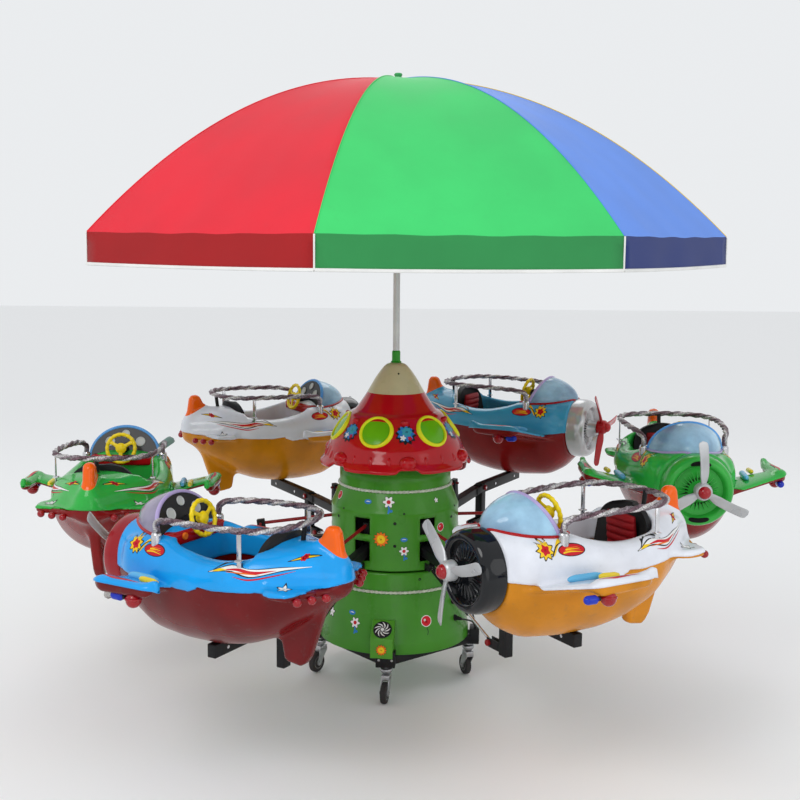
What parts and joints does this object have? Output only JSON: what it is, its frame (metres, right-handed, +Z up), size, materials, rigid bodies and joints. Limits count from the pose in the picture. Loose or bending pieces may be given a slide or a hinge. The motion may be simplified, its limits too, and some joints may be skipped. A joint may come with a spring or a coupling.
{
  "type": "children's aeroplane roundabout with umbrella",
  "caption": "Portable aeroplane roundabout: kiddie plane seats on lifting arms round a green drum with a red mushroom cap and a striped umbrella, on a castered frame",
  "frame": {"origin": "on the floor, on the upright axis that the drum and the umbrella turn about", "axes": "+Z up along the turning axis, -Y towards the viewer of the front with the control box, +X to the right of that view"},
  "size_m": [3.6659, 3.4124, 2.888],
  "materials": {
    "drum_green": "semi-gloss green paint",
    "cap_red": "glossy moulded red plastic with a cream tip",
    "black_paint": "black paint",
    "pole_grey": "white-grey painted tube",
    "canopy_cloth": "coated umbrella cloth in red, green, blue and yellow panels",
    "lead_black": "black cable jacket",
    "caster_steel": "bright zinc",
    "tyre_grey": "dark tread",
    "rope_wrap": "steel tube wound with pale tinsel rope",
    "wheel_yellow": "glossy yellow plastic",
    "shell_white": "glossy moulded shell, white over an orange belly",
    "shell_green": "glossy moulded shell, green over a red belly",
    "shell_sky": "glossy moulded shell, light blue over a red belly",
    "shell_blue": "glossy moulded shell, blue over a dark red belly",
    "blade_silver": "silver-grey plastic",
    "blade_red": "glossy red plastic"
  },
  "bodies": {
    "base": {"base_drum": "drum_green", "base_frame": "black_paint", "control_box": "drum_green", "lead_upper": "lead_black", "lead_lower": "lead_black"},
    "turntable": {"upper_drum": "drum_green", "mushroom_cap": "cap_red", "umbrella_frame": "pole_grey", "umbrella_canopy": "canopy_cloth"},
    "swivel_front": {"caster_fork_front": "caster_steel"},
    "wheel_front": {"caster_wheel_front": "tyre_grey"},
    "swivel_right": {"caster_fork_right": "caster_steel"},
    "wheel_right": {"caster_wheel_right": "tyre_grey"},
    "swivel_back": {"caster_fork_back": "caster_steel"},
    "wheel_back": {"caster_wheel_back": "tyre_grey"},
    "swivel_left": {"caster_fork_left": "caster_steel"},
    "wheel_left": {"caster_wheel_left": "tyre_grey"},
    "arm_front_right": {"lift_arm_front_right": "black_paint"},
    "carrier_front_right": {"carrier_front_right": "black_paint", "plane_front_right": "shell_white", "safety_ring_front_right": "rope_wrap"},
    "propeller_front_right": {"propeller_front_right": "blade_silver"},
    "steering_front_right": {"steering_wheel_front_right": "wheel_yellow"},
    "strut_front_right": {"strut_front_right": "black_paint"},
    "arm_right": {"lift_arm_right": "black_paint"},
    "carrier_right": {"carrier_right": "black_paint", "plane_right": "shell_green", "safety_ring_right": "rope_wrap"},
    "propeller_right": {"propeller_right": "blade_silver"},
    "steering_right": {"steering_wheel_right": "wheel_yellow"},
    "strut_right": {"strut_right": "black_paint"},
    "arm_back_right": {"lift_arm_back_right": "black_paint"},
    "carrier_back_right": {"carrier_back_right": "black_paint", "plane_back_right": "shell_sky", "safety_ring_back_right": "rope_wrap"},
    "propeller_back_right": {"propeller_back_right": "blade_red"},
    "steering_back_right": {"steering_wheel_back_right": "wheel_yellow"},
    "strut_back_right": {"strut_back_right": "black_paint"},
    "arm_back_left": {"lift_arm_back_left": "black_paint"},
    "carrier_back_left": {"carrier_back_left": "black_paint", "plane_back_left": "shell_white", "safety_ring_back_left": "rope_wrap"},
    "propeller_back_left": {"propeller_back_left": "blade_silver"},
    "steering_back_left": {"steering_wheel_back_left": "wheel_yellow"},
    "strut_back_left": {"strut_back_left": "black_paint"},
    "arm_left": {"lift_arm_left": "black_paint"},
    "carrier_left": {"carrier_left": "black_paint", "plane_left": "shell_green", "safety_ring_left": "rope_wrap"},
    "propeller_left": {"propeller_left": "blade_silver"},
    "steering_left": {"steering_wheel_left": "wheel_yellow"},
    "strut_left": {"strut_left": "black_paint"},
    "arm_front_left": {"lift_arm_front_left": "black_paint"},
    "carrier_front_left": {"carrier_front_left": "black_paint", "plane_front_left": "shell_blue", "safety_ring_front_left": "rope_wrap"},
    "propeller_front_left": {"propeller_front_left": "blade_silver"},
    "steering_front_left": {"steering_wheel_front_left": "wheel_yellow"},
    "strut_front_left": {"strut_front_left": "black_paint"}
  },
  "joints": [
    {"name": "turntable_spin", "type": "hinge", "parent": "base", "child": "turntable", "pos_m": [0, 0, 0.6], "axis": [0, 0, 1], "continuous": true},
    {"name": "caster_swivel_front", "type": "hinge", "parent": "base", "child": "swivel_front", "pos_m": [-0.03498, -0.36332, 0.15], "axis": [0, 0, 1], "continuous": true},
    {"name": "caster_roll_front", "type": "hinge", "parent": "swivel_front", "child": "wheel_front", "pos_m": [-0.04164, -0.39462, 0.05], "axis": [-0.9781, 0.2079, 0], "continuous": true},
    {"name": "caster_swivel_right", "type": "hinge", "parent": "base", "child": "swivel_right", "pos_m": [0.36332, -0.03498, 0.15], "axis": [0, 0, 1], "continuous": true},
    {"name": "caster_roll_right", "type": "hinge", "parent": "swivel_right", "child": "wheel_right", "pos_m": [0.35237, -0.00491, 0.05], "axis": [0.9397, 0.342, 0], "continuous": true},
    {"name": "caster_swivel_back", "type": "hinge", "parent": "base", "child": "swivel_back", "pos_m": [0.03498, 0.36332, 0.15], "axis": [0, 0, 1], "continuous": true},
    {"name": "caster_roll_back", "type": "hinge", "parent": "swivel_back", "child": "wheel_back", "pos_m": [0.04593, 0.33325, 0.05], "axis": [-0.9397, -0.342, 0], "continuous": true},
    {"name": "caster_swivel_left", "type": "hinge", "parent": "base", "child": "swivel_left", "pos_m": [-0.36332, 0.03498, 0.15], "axis": [0, 0, 1], "continuous": true},
    {"name": "caster_roll_left", "type": "hinge", "parent": "swivel_left", "child": "wheel_left", "pos_m": [-0.38167, 0.00877, 0.05], "axis": [-0.8192, 0.5736, 0], "continuous": true},
    {"name": "arm_lift_front_right", "type": "hinge", "parent": "turntable", "child": "arm_front_right", "pos_m": [0.1175, -0.20352, 0.69], "axis": [-0.866, -0.5, 0], "range_deg": [-6.69, 15.81]},
    {"name": "carrier_level_front_right", "type": "hinge", "parent": "arm_front_right", "child": "carrier_front_right", "pos_m": [0.47209, -0.81769, 0.599], "axis": [-0.866, -0.5, 0], "range_deg": [-16.31, 7.19]},
    {"name": "propeller_spin_front_right", "type": "hinge", "parent": "carrier_front_right", "child": "propeller_front_right", "pos_m": [0.21743, -1.4266, 0.929], "axis": [-0.866, -0.5, 0], "continuous": true},
    {"name": "steering_turn_front_right", "type": "hinge", "parent": "carrier_front_right", "child": "steering_front_right", "pos_m": [0.58982, -1.2116, 1.099], "axis": [-0.8403, -0.4851, -0.2419], "range_deg": [-80, 80]},
    {"name": "strut_swing_front_right", "type": "hinge", "parent": "turntable", "child": "strut_front_right", "pos_m": [0.1675, -0.29012, 0.619], "axis": [-0.866, -0.5, 0], "range_deg": [-9.26, 21.21]},
    {"name": "arm_lift_right", "type": "hinge", "parent": "turntable", "child": "arm_right", "pos_m": [0.235, 0, 0.69], "axis": [0, -1, 0], "range_deg": [-15.68, 6.82]},
    {"name": "carrier_level_right", "type": "hinge", "parent": "arm_right", "child": "carrier_right", "pos_m": [0.94969, 0, 0.711], "axis": [0, -1, 0], "range_deg": [-7.32, 16.18]},
    {"name": "propeller_spin_right", "type": "hinge", "parent": "carrier_right", "child": "propeller_right", "pos_m": [1.34969, -0.525, 1.041], "axis": [0, -1, 0], "continuous": true},
    {"name": "steering_turn_right", "type": "hinge", "parent": "carrier_right", "child": "steering_right", "pos_m": [1.34969, -0.095, 1.211], "axis": [0, -0.9703, -0.2419], "range_deg": [-80, 80]},
    {"name": "strut_swing_right", "type": "hinge", "parent": "turntable", "child": "strut_right", "pos_m": [0.335, 0, 0.619], "axis": [0, -1, 0], "range_deg": [-21.04, 9.43]},
    {"name": "arm_lift_back_right", "type": "hinge", "parent": "turntable", "child": "arm_back_right", "pos_m": [0.1175, 0.20352, 0.69], "axis": [0.866, -0.5, 0], "range_deg": [-20.18, 2.32]},
    {"name": "carrier_level_back_right", "type": "hinge", "parent": "arm_back_right", "child": "carrier_back_right", "pos_m": [0.47292, 0.81912, 0.767], "axis": [0.866, -0.5, 0], "range_deg": [-2.82, 20.68]},
    {"name": "propeller_spin_back_right", "type": "hinge", "parent": "carrier_back_right", "child": "propeller_back_right", "pos_m": [1.12758, 0.90303, 1.097], "axis": [0.866, -0.5, 0], "continuous": true},
    {"name": "steering_turn_back_right", "type": "hinge", "parent": "carrier_back_right", "child": "steering_back_right", "pos_m": [0.75519, 1.11803, 1.267], "axis": [0.8403, -0.4851, -0.2419], "range_deg": [-80, 80]},
    {"name": "strut_swing_back_right", "type": "hinge", "parent": "turntable", "child": "strut_back_right", "pos_m": [0.1675, 0.29012, 0.619], "axis": [0.866, -0.5, 0], "range_deg": [-26.94, 3.54]},
    {"name": "arm_lift_back_left", "type": "hinge", "parent": "turntable", "child": "arm_back_left", "pos_m": [-0.1175, 0.20352, 0.69], "axis": [0.866, 0.5, 0], "range_deg": [-15.68, 6.82]},
    {"name": "carrier_level_back_left", "type": "hinge", "parent": "arm_back_left", "child": "carrier_back_left", "pos_m": [-0.47485, 0.82246, 0.711], "axis": [0.866, 0.5, 0], "range_deg": [-7.32, 16.18]},
    {"name": "propeller_spin_back_left", "type": "hinge", "parent": "carrier_back_left", "child": "propeller_back_left", "pos_m": [-0.22018, 1.43137, 1.041], "axis": [0.866, 0.5, 0], "continuous": true},
    {"name": "steering_turn_back_left", "type": "hinge", "parent": "carrier_back_left", "child": "steering_back_left", "pos_m": [-0.59257, 1.21637, 1.211], "axis": [0.8403, 0.4851, -0.2419], "range_deg": [-80, 80]},
    {"name": "strut_swing_back_left", "type": "hinge", "parent": "turntable", "child": "strut_back_left", "pos_m": [-0.1675, 0.29012, 0.619], "axis": [0.866, 0.5, 0], "range_deg": [-21.04, 9.43]},
    {"name": "arm_lift_left", "type": "hinge", "parent": "turntable", "child": "arm_left", "pos_m": [-0.235, 0, 0.69], "axis": [0, 1, 0], "range_deg": [-6.69, 15.81]},
    {"name": "carrier_level_left", "type": "hinge", "parent": "arm_left", "child": "carrier_left", "pos_m": [-0.94419, 0, 0.599], "axis": [0, 1, 0], "range_deg": [-16.31, 7.19]},
    {"name": "propeller_spin_left", "type": "hinge", "parent": "carrier_left", "child": "propeller_left", "pos_m": [-1.34418, 0.525, 0.929], "axis": [0, 1, 0], "continuous": true},
    {"name": "steering_turn_left", "type": "hinge", "parent": "carrier_left", "child": "steering_left", "pos_m": [-1.34418, 0.095, 1.099], "axis": [0, 0.9703, -0.2419], "range_deg": [-80, 80]},
    {"name": "strut_swing_left", "type": "hinge", "parent": "turntable", "child": "strut_left", "pos_m": [-0.335, 0, 0.619], "axis": [0, 1, 0], "range_deg": [-9.26, 21.21]},
    {"name": "arm_lift_front_left", "type": "hinge", "parent": "turntable", "child": "arm_front_left", "pos_m": [-0.1175, -0.20352, 0.69], "axis": [-0.866, 0.5, 0], "range_deg": [-2.14, 20.36]},
    {"name": "carrier_level_front_left", "type": "hinge", "parent": "arm_front_left", "child": "carrier_front_left", "pos_m": [-0.46736, -0.8095, 0.543], "axis": [-0.866, 0.5, 0], "range_deg": [-20.86, 2.64]},
    {"name": "propeller_spin_front_left", "type": "hinge", "parent": "carrier_front_left", "child": "propeller_front_left", "pos_m": [-1.12203, -0.89341, 0.873], "axis": [-0.866, 0.5, 0], "continuous": true},
    {"name": "steering_turn_front_left", "type": "hinge", "parent": "carrier_front_left", "child": "steering_front_left", "pos_m": [-0.74964, -1.10841, 1.043], "axis": [-0.8403, 0.4851, -0.2419], "range_deg": [-80, 80]},
    {"name": "strut_swing_front_left", "type": "hinge", "parent": "turntable", "child": "strut_front_left", "pos_m": [-0.1675, -0.29012, 0.619], "axis": [-0.866, 0.5, 0], "range_deg": [-3.3, 27.17]}
  ],
  "couplings": [
    {"joint": "carrier_level_front_right", "follows": "arm_lift_front_right", "ratio": -1},
    {"joint": "strut_swing_front_right", "follows": "arm_lift_front_right", "ratio": 1.31},
    {"joint": "carrier_level_right", "follows": "arm_lift_right", "ratio": -1},
    {"joint": "strut_swing_right", "follows": "arm_lift_right", "ratio": 1.31},
    {"joint": "carrier_level_back_right", "follows": "arm_lift_back_right", "ratio": -1},
    {"joint": "strut_swing_back_right", "follows": "arm_lift_back_right", "ratio": 1.31},
    {"joint": "carrier_level_back_left", "follows": "arm_lift_back_left", "ratio": -1},
    {"joint": "strut_swing_back_left", "follows": "arm_lift_back_left", "ratio": 1.31},
    {"joint": "carrier_level_left", "follows": "arm_lift_left", "ratio": -1},
    {"joint": "strut_swing_left", "follows": "arm_lift_left", "ratio": 1.31},
    {"joint": "carrier_level_front_left", "follows": "arm_lift_front_left", "ratio": -1},
    {"joint": "strut_swing_front_left", "follows": "arm_lift_front_left", "ratio": 1.31}
  ]
}
